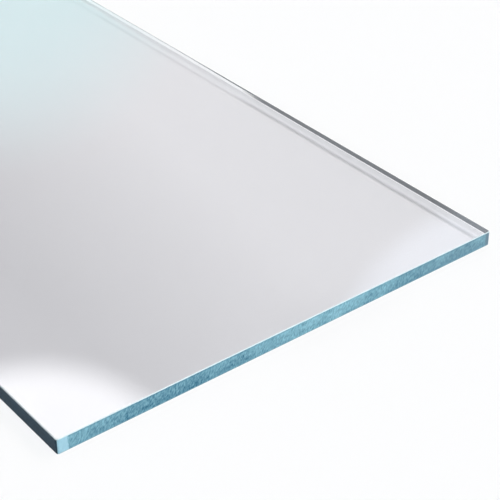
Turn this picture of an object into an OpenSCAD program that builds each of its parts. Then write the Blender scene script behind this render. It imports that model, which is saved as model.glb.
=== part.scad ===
// Clear solid polycarbonate sheet, cut to a stock panel.
//
// One piece of extruded stock: a flat plate with glossy faces and four sawn edges. The saw leaves
// sharp arrises, which are broken with a scraper on both faces, and the four upright corners are
// eased to a small radius so that the panel can be handled.
//
// The underside lies on z = 0 with the origin at the middle of the panel: x runs across the width,
// y along the length, which is the direction of extrusion, and z through the thickness.

/* [Panel] */
// Width of the panel, across the direction of extrusion
panel_w = 250; // [100:10:1250]
// Length of the panel, along the direction of extrusion
panel_l = 500; // [100:10:2050]
// Thickness of the sheet, which sets the glazing channel that it fits
sheet_t = 8; // [3:1:15]

/* [Edges] */
// Depth of the scraped arris, along the face and down the sawn edge alike
arris = 0.35; // [0.1:0.05:0.6]
// Radius of the eased upright corners
corner_r = 1.2; // [0.8:0.2:12]

/* [Hidden] */

$fn = 48;

// Half sizes of the panel between the centres of its eased corners
mid_x = panel_w / 2 - corner_r;
mid_y = panel_l / 2 - corner_r;

// Half of the sheet's section with its two scraped arrises, from the line x = 0 to x = reach
module half_section(reach) {
    polygon([
        [0, 0],
        [reach - arris, 0],
        [reach, arris],
        [reach, sheet_t - arris],
        [reach - arris, sheet_t],
        [0, sheet_t]
    ]);
}

// The whole section, reach to each side of the middle
module section(reach) {
    half_section(reach);
    mirror([1, 0]) half_section(reach);
}

// A run of the section, standing upright and centred, whose run lies along y
module run(reach, run_l) {
    translate([0, run_l / 2, 0])
        rotate([90, 0, 0])
            linear_extrude(height = run_l) section(reach);
}

// The eased corner: the same half section turned about the corner's own centre
module eased_corner() {
    rotate_extrude() half_section(corner_r);
}

module sheet() {
    color([0.80, 0.92, 0.95, 0.45])
        union() {
            run(panel_w / 2, 2 * mid_y);
            rotate([0, 0, 90]) run(panel_l / 2, 2 * mid_x);
            for (x = [-mid_x, mid_x], y = [-mid_y, mid_y])
                translate([x, y, 0]) eased_corner();
        }
}

sheet();
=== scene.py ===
# Looks of a clear solid polycarbonate sheet lying on a white studio floor.
import math

import bmesh
import bpy
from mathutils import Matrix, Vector, noise


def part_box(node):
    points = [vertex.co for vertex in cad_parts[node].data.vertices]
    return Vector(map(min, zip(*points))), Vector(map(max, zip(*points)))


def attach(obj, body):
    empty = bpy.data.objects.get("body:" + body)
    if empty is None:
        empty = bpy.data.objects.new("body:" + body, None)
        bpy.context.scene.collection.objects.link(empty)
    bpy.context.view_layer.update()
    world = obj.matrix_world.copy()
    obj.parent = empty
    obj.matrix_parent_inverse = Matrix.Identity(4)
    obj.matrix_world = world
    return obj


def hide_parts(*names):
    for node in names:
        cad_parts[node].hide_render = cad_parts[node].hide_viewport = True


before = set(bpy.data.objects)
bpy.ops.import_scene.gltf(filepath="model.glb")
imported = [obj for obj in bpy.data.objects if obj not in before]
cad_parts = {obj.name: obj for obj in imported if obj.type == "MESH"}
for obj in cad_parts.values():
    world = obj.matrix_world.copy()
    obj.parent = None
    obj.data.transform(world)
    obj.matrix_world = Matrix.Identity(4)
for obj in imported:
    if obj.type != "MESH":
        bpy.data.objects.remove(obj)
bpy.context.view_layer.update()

MM = 0.001

# Camera, fitted to the straight edges of the sheet in the photograph
LENS_MM = 104.4
TILT_DEG = 33.47
AZIMUTH_DEG = 38.44
AIM_MM = (22.1, -189.8, 8.0)
DISTANCE_MM = 697.5
CLIP_START, CLIP_END = 0.01, 100.0

# The sheet's outer size is the CAD node's own box
low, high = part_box("sheet")
CORNER_R = 1.2 * MM
ARRIS = 0.35 * MM
# The way the front edge faces, anticlockwise from +X, and how far each corner turns
FRONT_FACING_DEG, CORNER_DEG = 270, 90
# The outline's length round half an eased corner, and along a cut end with half a corner at each side
HALF_CORNER = CORNER_R * math.radians(CORNER_DEG / 2)
END_RUN = high.x - low.x - 2 * CORNER_R + 2 * HALF_CORNER

# Mesh of the edges: distance between stations, steps round half a corner, rows down the sawn flat
STATION = 0.35 * MM
HALF_CORNER_STEPS = 5
EDGE_ROWS = 7
# Faces that meet at a greater angle than this meet sharply
SHARP_DEG = 25

# Relief of the saw marks: greatest depth, pitch of the teeth, and how far a stroke leans for its height
RELIEF = 0.04 * MM
TOOTH_PITCH = 0.9 * MM
SLANT = 0.45
# Its coarse and fine noise: length along the edge, height, and place in the noise
COARSE_MARKS = (2.3 * MM, 9 * MM, 3.1)
FINE_MARKS = (0.55 * MM, 3 * MM, 7.7)
TOOTH_SHARE, COARSE_SHARE, FINE_SHARE = 0.3, 0.3, 0.5

# The scraped arrises waver, by this share and over this length
ARRIS_WOBBLE = 0.25
WOBBLE_LENGTH = 1.7 * MM
# Each has its own place in the noise: the distance from edge to edge, and the place at top and underside
WOBBLE_APART = 5.0
TOP_WOBBLE, UNDER_WOBBLE = 11.0, 23.0

# Slots of the sheet's mesh
FACE, END_EDGE, SIDE_EDGE, ARRIS_EDGE = range(4)
EDGE_MAP = "edge_map"

# Clear plastic
IOR = 1.585
FACE_TINT = (0.76, 0.755, 0.785)
FACE_LAMP_TINT = (0.95, 0.95, 0.95)

# Colour noise of the sawn edges: pitch along the edge, height, detail, and place in the noise
STROKES = (0.8 * MM, 1.8 * MM, 3.0, 1.0)
CLOUDS = (9 * MM, 14 * MM, 1.0, 4.0)
NOISE_ROUGHNESS = 0.65
# Clouds, a wave along the run and a rise with the height are added to the strokes
CLOUD_SHARE, WAVE_SHARE, RISE_SHARE = 0.24, 0.075, 0.12
WAVE_CREST, WAVE_LENGTH = 143 * MM, 165 * MM
# Just below the upper arris the tone is darker by this much
UNDER_ARRIS_DARK_SHARE = 0.10
UNDER_ARRIS_DARK_LOW, UNDER_ARRIS_DARK_HIGH = 6.5 * MM, 7.4 * MM
# Sums at which the edge has its dark and its pale colour
DARK_SUM, PALE_SUM = 0.465, 0.905

# The cut ends
END_DARK, END_PALE = (0.014, 0.125, 0.21), (0.28, 0.56, 0.665)
# Painted shade: the plain grey a cut end shows through the plastic, standing in for how dark the sawn
# wall looks from within
END_INNER_PAINTED_SHADE = (0.17, 0.22, 0.24)
END_SPECULAR = 0.2
# Painted light: a pale start with a ragged border, standing in for the light that comes through the
# sheet's corner
START_PAINTED_LIGHT, START_LIGHT_STRENGTH = (0.40, 0.67, 0.80), 0.72
START_LENGTH, START_RAG = 6.6 * MM, 3.0 * MM
# Painted shade: a dark last stretch, where the edge turns into the eased corner away from the light
LAST_PAINTED_SHADE, LAST_SHADE_STRENGTH = (0.12, 0.19, 0.245), 0.75
LAST_FROM, LAST_FULLY = END_RUN - 3.2 * MM, END_RUN - 2.4 * MM
# A grey foot, whose tone also dulls the far part
FOOT_TONE, FOOT_STRENGTH = (0.27, 0.41, 0.47), 0.7
FOOT_TOP, FOOT_FULLY = 1.0 * MM, 0.5 * MM
DULL_FROM, DULL_FULLY, DULL_STRENGTH = 180 * MM, 225 * MM, 0.24

# The long edges, with painted shade: their sawn colour is a much darker copy of the cut ends', standing
# in for the shade on the side that faces away from the light
LONG_PAINTED_SHADE_DARK, LONG_PAINTED_SHADE_PALE = (0.005, 0.022, 0.038), (0.025, 0.062, 0.096)
# Painted shade: the plain grey a long edge shows through the plastic, standing in for how dark the sawn
# wall looks from within
LONG_INNER_PAINTED_SHADE = (0.148, 0.172, 0.194)
LONG_SPECULAR = 0.06
# From inside, their far part is clear below a dark line that thins with the run: run and height
LINE_WIDE = (200 * MM, 4.5 * MM)
LINE_THIN = (265 * MM, 6.2 * MM)

# Satin finish of all four edges
EDGE_ROUGHNESS = 0.5
BUMP_STRENGTH, BUMP_DEPTH = 0.5, 0.1 * MM
# Where an edge's near part ends and its far part starts
NEAR_UNTIL, FAR_FROM = 178 * MM, 198 * MM
# What the edges leave of a lamp's light, and what the lip at the top of the lit side's near part leaves
EDGE_LAMP_TINT = (0.97, 0.98, 0.985)
LIP_LAMP_TINT = (0.3, 0.32, 0.33)
LIP_LOW, LIP_HIGH = 5.5 * MM, 6.3 * MM

# Scraped arris: its pale colour is partly its own and partly a painted highlight, the bright line along
# the top of the edges
ARRIS_COLOUR_AND_HIGHLIGHT = (0.60, 0.74, 0.78)
ARRIS_ROUGHNESS = 0.3
ARRIS_LAMP_TINT = (0.9, 0.9, 0.9)
BLACK = (0.0, 0.0, 0.0)

# Floor: half its width in metres, how far it lies below the sheet, and its colour
FLOOR_HALF = 30.0
FLOOR_GAP = 0.05 * MM
FLOOR_COLOUR = (0.95, 0.95, 0.95)

# Studio: the half that is bright, to the right and low, with a soft border. The rest is dark.
WORLD_LEVEL = 1.22
BRIGHT_SIDE = (0.810, -0.072, -0.582)
BORDER_DARK, BORDER_BRIGHT = -0.068, 0.066
# It is bright all round the horizon too, up to these heights of a unit direction
HORIZON_BRIGHT, HORIZON_DARK = 0.13, 0.22
STUDIO_DARK, STUDIO_BRIGHT = (0.04, 0.04, 0.045), (1.0, 1.0, 1.0)
# Round glows in it: azimuth and elevation, full and faded radius, all in degrees, and colour
GLOWS = (
    ((27.0, 44.5), (6.0, 7.7), (2.7, 2.7, 2.7)),
    ((52.3, 38.6), (7.2, 8.5), (1.60, 1.67, 1.78)),
    ((27.0, 21.0), (3.0, 9.5), (0.64, 1.15, 1.15)),
    ((-58.0, 24.0), (8.0, 26.0), (0.85, 0.85, 0.87)),
)
# Lamps: name, direction towards the lamp, width in degrees, and strength
SUNS = (
    ("key", (0.675, -0.14, 0.725), 6.0, 1.97),
    ("front_soft", (0.30, -0.75, 0.60), 40.0, 0.98),
)


def direction(azimuth, elevation):
    """Unit direction, with azimuth in degrees from +Y towards +X."""
    az, el = math.radians(azimuth), math.radians(elevation)
    return Vector((math.sin(az) * math.cos(el), math.cos(az) * math.cos(el), math.sin(el)))


def add_object(name, data):
    obj = bpy.data.objects.new(name, data)
    bpy.context.collection.objects.link(obj)
    return obj


def aim(obj, look):
    """Turn a camera or lamp to look in a direction."""
    obj.rotation_mode = "QUATERNION"
    obj.rotation_quaternion = look.to_track_quat("-Z", "Y")


def make_camera():
    data = bpy.data.cameras.new("camera")
    data.lens = LENS_MM
    data.clip_start, data.clip_end = CLIP_START, CLIP_END
    cam = add_object("camera", data)
    look = direction(AZIMUTH_DEG, -TILT_DEG)
    cam.location = Vector(AIM_MM) * MM - look * DISTANCE_MM * MM
    aim(cam, look)
    bpy.context.scene.camera = cam


def outward(degrees):
    """Level unit direction at an angle anticlockwise from +X."""
    angle = math.radians(degrees)
    return Vector((math.cos(angle), math.sin(angle)))


def outline_stations():
    """Stations round the sheet seen from above, anticlockwise from the front edge.

    Each is a place, its outward normal, the number of its edge and the run along that edge.
    """
    middle = Vector(((high.x + low.x) / 2, (high.y + low.y) / 2))
    x, y = (high.x - low.x) / 2 - CORNER_R, (high.y - low.y) / 2 - CORNER_R
    centres = [middle + Vector(corner) for corner in ((-x, -y), (x, -y), (x, y), (-x, y))]
    stations = []
    for edge in range(4):
        start, end = centres[edge], centres[(edge + 1) % 4]
        facing = FRONT_FACING_DEG + CORNER_DEG * edge
        length = (end - start).length
        for i in range(HALF_CORNER_STEPS):
            share = i / HALF_CORNER_STEPS
            normal = outward(facing - CORNER_DEG / 2 * (1 - share))
            stations.append((start + normal * CORNER_R, normal, edge, HALF_CORNER * share))
        normal = outward(facing)
        steps = round(length / STATION)
        for i in range(steps):
            share = i / steps
            place = start + (end - start) * share + normal * CORNER_R
            stations.append((place, normal, edge, HALF_CORNER + length * share))
        for i in range(HALF_CORNER_STEPS):
            share = i / HALF_CORNER_STEPS
            normal = outward(facing + CORNER_DEG / 2 * share)
            run = HALF_CORNER + length + HALF_CORNER * share
            stations.append((end + normal * CORNER_R, normal, edge, run))
    return stations


def mark_noise(along, z, marks):
    """Noise from 0 to 1."""
    length, height, place = marks
    return 0.5 + 0.5 * noise.noise(Vector((along / length, z / height, place)))


def saw_relief(edge, run, z):
    """Depth of the saw marks, from 0 to 1."""
    along = run - SLANT * z + edge
    teeth = 0.5 + 0.5 * math.cos(2 * math.pi * along / TOOTH_PITCH)
    coarse = mark_noise(along, z, COARSE_MARKS)
    fine = mark_noise(along, z, FINE_MARKS)
    depth = TOOTH_SHARE * teeth * coarse + COARSE_SHARE * coarse + FINE_SHARE * fine
    return min(1.0, max(0.0, depth))


def wobble(edge, run, place):
    """Factor by which the arris is deeper or shallower here."""
    return 1 + ARRIS_WOBBLE * noise.noise(Vector((run / WOBBLE_LENGTH, edge * WOBBLE_APART, place)))


def edge_column(bm, station):
    """The vertices at a station, from the upper face's rim down to the underside's."""
    point, normal, edge, run = station
    rim = point - normal * ARRIS
    top = high.z - ARRIS * wobble(edge, run, TOP_WOBBLE)
    under = low.z + ARRIS * wobble(edge, run, UNDER_WOBBLE)
    column = [bm.verts.new((rim.x, rim.y, high.z))]
    for row in range(EDGE_ROWS + 1):
        z = top + (under - top) * row / EDGE_ROWS
        place = point - normal * RELIEF * saw_relief(edge, run, z)
        column.append(bm.verts.new((place.x, place.y, z)))
    column.append(bm.verts.new((rim.x, rim.y, low.z)))
    return column


def add_strip(bm, uv, columns, runs, edge):
    """The faces between two neighbouring columns, mapped by run and height."""
    left, right = columns
    for level in range(len(left) - 1):
        face = bm.faces.new((left[level], left[level + 1], right[level + 1], right[level]))
        face.smooth = True
        if level == 0:
            face.material_index = ARRIS_EDGE
        else:
            face.material_index = SIDE_EDGE if edge % 2 else END_EDGE
        for loop in face.loops:
            run = runs[0] if loop.vert in left[level:level + 2] else runs[1]
            loop[uv].uv = (run, loop.vert.co.z)


def add_flat_face(bm, uv, rim):
    face = bm.faces.new(rim)
    face.material_index = FACE
    for loop in face.loops:
        loop[uv].uv = (loop.vert.co.x, loop.vert.co.y)


def mark_sharp_edges(bm):
    bm.normal_update()
    for edge in bm.edges:
        one, other = edge.link_faces
        if one.normal.angle(other.normal) > math.radians(SHARP_DEG):
            edge.smooth = False


def build_sheet():
    bm = bmesh.new()
    uv = bm.loops.layers.uv.new(EDGE_MAP)
    stations = outline_stations()
    columns = [edge_column(bm, station) for station in stations]
    for i in range(len(stations)):
        j = (i + 1) % len(stations)
        edge, run = stations[i][2:]
        next_edge, next_run = stations[j][2:]
        if next_edge != edge:
            next_run = run + HALF_CORNER / HALF_CORNER_STEPS
        add_strip(bm, uv, (columns[i], columns[j]), (run, next_run), edge)
    add_flat_face(bm, uv, [column[0] for column in columns])
    add_flat_face(bm, uv, [column[-1] for column in reversed(columns)])
    mark_sharp_edges(bm)
    mesh = bpy.data.meshes.new("sheet_detail")
    bm.to_mesh(mesh)
    bm.free()
    return add_object("sheet_detail", mesh)


class Nodes:
    """A node tree with short names for adding and joining nodes."""

    def __init__(self, tree):
        self.nodes, self.links = tree.nodes, tree.links
        self.nodes.clear()

    def add(self, kind, **inputs):
        node = self.nodes.new(kind)
        for name, value in inputs.items():
            self.feed(node.inputs[name.replace("_", " ")], value)
        return node

    def join(self, source, target):
        self.links.new(source, target)

    def feed(self, socket, value):
        """Set a number or a colour on the socket, or join another node's output to it."""
        if isinstance(value, (int, float)):
            socket.default_value = value
        elif isinstance(value, tuple):
            socket.default_value = (*value, 1)
        else:
            self.join(value, socket)

    def maths(self, operation, *values):
        node = self.nodes.new("ShaderNodeMath")
        node.operation = operation
        for socket, value in zip(node.inputs, values):
            self.feed(socket, value)
        return node.outputs[0]

    def dot(self, vector, towards):
        node = self.nodes.new("ShaderNodeVectorMath")
        node.operation = "DOT_PRODUCT"
        self.join(vector, node.inputs[0])
        node.inputs[1].default_value = towards
        return node.outputs["Value"]

    def split(self, vector):
        node = self.nodes.new("ShaderNodeSeparateXYZ")
        self.join(vector, node.inputs[0])
        return node.outputs

    def fade(self, value, start, end, first=0.0, last=1.0, smooth=False):
        """From first, where the value is at start, to last, where it is at end."""
        node = self.add("ShaderNodeMapRange", Value=value, From_Min=start, From_Max=end,
                        To_Min=first, To_Max=last)
        if smooth:
            node.interpolation_type = "SMOOTHSTEP"
        return node.outputs[0]

    def ramp(self, fac, *stops):
        node = self.nodes.new("ShaderNodeValToRGB")
        for element, (position, colour) in zip(node.color_ramp.elements, stops):
            element.position = position
            element.color = (*colour, 1)
        self.join(fac, node.inputs[0])
        return node.outputs[0]

    def mix(self, fac, a, b):
        node = self.nodes.new("ShaderNodeMix")
        node.data_type = "RGBA"
        fac_socket, a_socket, b_socket = node.inputs[0], node.inputs[6], node.inputs[7]
        self.feed(fac_socket, fac)
        self.feed(a_socket, a)
        self.feed(b_socket, b)
        return node.outputs[2]


def new_material(name):
    mat = bpy.data.materials.new(name)
    mat.use_nodes = True
    return mat, Nodes(mat.node_tree)


def let_lamps_through(n, shader, tint, diffuse_too, window=None):
    """The shader, with see-through in its place for rays from lamps and where window is 1.

    With diffuse_too, light that other surfaces scatter passes through as well.
    """
    path = n.add("ShaderNodeLightPath")
    clear = n.add("ShaderNodeBsdfTransparent", Color=tint)
    fac = path.outputs["Is Shadow Ray"]
    if diffuse_too:
        fac = n.maths("MAXIMUM", fac, path.outputs["Is Diffuse Ray"])
    if window is not None:
        fac = n.maths("MAXIMUM", fac, window)
    mix = n.add("ShaderNodeMixShader")
    fac_socket, shader_socket, clear_socket = mix.inputs
    n.join(fac, fac_socket)
    n.join(shader.outputs[0], shader_socket)
    n.join(clear.outputs[0], clear_socket)
    n.add("ShaderNodeOutputMaterial", Surface=mix.outputs[0])


def lit_side(n):
    """1 on the half of the sheet towards the key lamp, where its light goes in, and 0 on the other."""
    place = n.add("ShaderNodeTexCoord").outputs["Object"]
    return n.maths("GREATER_THAN", n.split(place)["X"], (low.x + high.x) / 2)


def face_material():
    mat, n = new_material("clear_face")
    plastic = n.add("ShaderNodeBsdfPrincipled", Base_Color=FACE_TINT, Roughness=0.0, IOR=IOR,
                    Transmission_Weight=1.0)
    let_lamps_through(n, plastic, FACE_LAMP_TINT, True)
    return mat


def edge_place(n):
    """The run along the edge and the height, from the mesh's map."""
    place = n.add("ShaderNodeUVMap")
    place.uv_map = EDGE_MAP
    sockets = n.split(place.outputs[0])
    return sockets["X"], sockets["Y"]


def slanted_noise(n, run, height, pattern):
    """Noise drawn out along the saw's strokes."""
    pitch, tall, detail, place = pattern
    along = n.maths("SUBTRACT", run, n.maths("MULTIPLY", height, SLANT))
    x, y = n.maths("DIVIDE", along, pitch), n.maths("DIVIDE", height, tall)
    spot = n.add("ShaderNodeCombineXYZ", X=x, Y=y, Z=place)
    texture = n.add("ShaderNodeTexNoise", Vector=spot.outputs[0], Scale=1.0, Detail=detail,
                    Roughness=NOISE_ROUGHNESS)
    return texture.outputs["Fac"]


def sawn_colour(n, run, height, strokes, dark, pale):
    """Colour of a sawn edge, between dark and pale."""
    clouds = slanted_noise(n, run, height, CLOUDS)
    phase = n.maths("MULTIPLY", n.maths("SUBTRACT", run, WAVE_CREST), 2 * math.pi / WAVE_LENGTH)
    rise = n.maths("DIVIDE", height, high.z - low.z)
    tone = n.maths("ADD", strokes, n.maths("MULTIPLY", clouds, CLOUD_SHARE))
    tone = n.maths("ADD", tone, n.maths("MULTIPLY", n.maths("COSINE", phase), WAVE_SHARE))
    tone = n.maths("ADD", tone, n.maths("MULTIPLY", rise, RISE_SHARE))
    # Darker just below the upper arris.
    tone = n.maths("SUBTRACT", tone, n.fade(height, UNDER_ARRIS_DARK_LOW, UNDER_ARRIS_DARK_HIGH, last=UNDER_ARRIS_DARK_SHARE))
    return n.ramp(tone, (DARK_SUM, dark), (PALE_SUM, pale))


def end_marks(n, run, height, strokes, colour):
    """The colour with a cut end's dull far part, painted light at its start, painted shade on its last
    stretch, and grey foot.
    """
    colour = n.mix(n.fade(run, DULL_FROM, DULL_FULLY, last=DULL_STRENGTH), colour, FOOT_TONE)
    # Painted light at the start of the run, where light comes through the corner
    ragged = n.maths("ADD", run, n.maths("MULTIPLY", strokes, START_RAG))
    start = n.maths("LESS_THAN", ragged, START_LENGTH)
    colour = n.mix(n.maths("MULTIPLY", start, START_LIGHT_STRENGTH), colour, START_PAINTED_LIGHT)
    # Painted shade on the last stretch, at the eased corner.
    colour = n.mix(n.fade(run, LAST_FROM, LAST_FULLY, last=LAST_SHADE_STRENGTH), colour, LAST_PAINTED_SHADE)
    return n.mix(n.fade(height, FOOT_TOP, FOOT_FULLY, last=FOOT_STRENGTH), colour, FOOT_TONE)


def seen_from_inside(n):
    """1 where the edge shows through the clear plastic, and 0 where it shows from outside."""
    return n.add("ShaderNodeLightPath").outputs["Is Transmission Ray"]


def near_part(n, run):
    """1 on the near part of an edge, fading to 0 on the far part."""
    return n.fade(run, NEAR_UNTIL, FAR_FROM, first=1.0, last=0.0)


def clear_part(n, run, height):
    """1 where a long edge is clear from inside: its lower arris, and its far part below the dark line."""
    line = n.fade(run, LINE_WIDE[0], LINE_THIN[0], first=LINE_WIDE[1], last=LINE_THIN[1])
    below = n.maths("LESS_THAN", height, line)
    far = n.maths("MULTIPLY", below, n.maths("SUBTRACT", 1.0, near_part(n, run)))
    return n.maths("MAXIMUM", far, n.maths("LESS_THAN", height, ARRIS))


def edge_lamp_tint(n, run, height):
    """What an edge leaves of a lamp's light: little at the lip of the lit side's near part."""
    lip = n.fade(height, LIP_LOW, LIP_HIGH)
    stop = n.maths("MULTIPLY", n.maths("MULTIPLY", lip, lit_side(n)), near_part(n, run))
    return n.mix(stop, EDGE_LAMP_TINT, LIP_LAMP_TINT)


def satin_shader(n, colour, strokes, specular):
    bump = n.add("ShaderNodeBump", Height=strokes, Strength=BUMP_STRENGTH, Distance=BUMP_DEPTH)
    return n.add("ShaderNodeBsdfPrincipled", Base_Color=colour, Normal=bump.outputs[0],
                 Roughness=EDGE_ROUGHNESS, IOR=IOR, Specular_IOR_Level=specular)


def cut_end_material():
    mat, n = new_material("sawn_end_edge")
    run, height = edge_place(n)
    strokes = slanted_noise(n, run, height, STROKES)
    colour = sawn_colour(n, run, height, strokes, END_DARK, END_PALE)
    colour = end_marks(n, run, height, strokes, colour)
    # Painted shade: seen through the plastic, the edge takes a plain grey.
    colour = n.mix(seen_from_inside(n), colour, END_INNER_PAINTED_SHADE)
    satin = satin_shader(n, colour, strokes, END_SPECULAR)
    let_lamps_through(n, satin, edge_lamp_tint(n, run, height), True)
    return mat


def long_edge_material():
    mat, n = new_material("sawn_side_edge_painted_shade")
    run, height = edge_place(n)
    strokes = slanted_noise(n, run, height, STROKES)
    # Painted shade: the long edges take a far darker copy of the cut ends' sawn colour.
    colour = sawn_colour(n, run, height, strokes, LONG_PAINTED_SHADE_DARK, LONG_PAINTED_SHADE_PALE)
    # Painted shade: seen through the plastic, the edge takes a plain grey.
    colour = n.mix(seen_from_inside(n), colour, LONG_INNER_PAINTED_SHADE)
    satin = satin_shader(n, colour, strokes, LONG_SPECULAR)
    window = n.maths("MULTIPLY", clear_part(n, run, height), seen_from_inside(n))
    let_lamps_through(n, satin, edge_lamp_tint(n, run, height), True, window)
    return mat


def arris_material():
    """The upper arris stops the lamps on the lit side, and draws a thin shadow line there."""
    mat, n = new_material("scraped_arris")
    # Its pale colour is partly a painted highlight along the top of the edges.
    satin = n.add("ShaderNodeBsdfPrincipled", Base_Color=ARRIS_COLOUR_AND_HIGHLIGHT, Roughness=ARRIS_ROUGHNESS, IOR=IOR)
    let_lamps_through(n, satin, n.mix(lit_side(n), ARRIS_LAMP_TINT, BLACK), False)
    return mat


def make_floor():
    z = low.z - FLOOR_GAP
    corners = [(x * FLOOR_HALF, y * FLOOR_HALF, z) for x, y in ((-1, -1), (1, -1), (1, 1), (-1, 1))]
    mesh = bpy.data.meshes.new("floor")
    mesh.from_pydata(corners, [], [(0, 1, 2, 3)])
    floor = add_object("floor", mesh)
    mat, n = new_material("floor_white")
    paint = n.add("ShaderNodeBsdfDiffuse", Color=FLOOR_COLOUR)
    n.add("ShaderNodeOutputMaterial", Surface=paint.outputs[0])
    mesh.materials.append(mat)


def make_world():
    world = bpy.data.worlds.new("studio")
    bpy.context.scene.world = world
    world.use_nodes = True
    n = Nodes(world.node_tree)
    sky = n.add("ShaderNodeTexCoord").outputs["Generated"]
    side = n.fade(n.dot(sky, BRIGHT_SIDE), BORDER_DARK, BORDER_BRIGHT)
    horizon = n.fade(n.split(sky)["Z"], HORIZON_BRIGHT, HORIZON_DARK, first=1.0, last=0.0)
    colour = n.ramp(n.maths("MAXIMUM", side, horizon), (0.0, STUDIO_DARK), (1.0, STUDIO_BRIGHT))
    for place, (full, faded), glow_colour in GLOWS:
        near = n.dot(sky, direction(*place))
        glow = n.fade(near, math.cos(math.radians(faded)), math.cos(math.radians(full)), smooth=True)
        colour = n.mix(glow, colour, glow_colour)
    back = n.add("ShaderNodeBackground", Color=colour, Strength=WORLD_LEVEL)
    n.add("ShaderNodeOutputWorld", Surface=back.outputs[0])


def add_sun(name, towards, width, strength):
    data = bpy.data.lights.new(name, "SUN")
    data.angle = math.radians(width)
    data.energy = strength
    aim(add_object(name, data), -Vector(towards))


make_camera()
sheet = build_sheet()
for material in (face_material(), cut_end_material(), long_edge_material(), arris_material()):
    sheet.data.materials.append(material)
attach(sheet, "root")
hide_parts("sheet")
make_floor()
make_world()
for sun in SUNS:
    add_sun(*sun)

bpy.context.scene.view_settings.view_transform = "Standard"
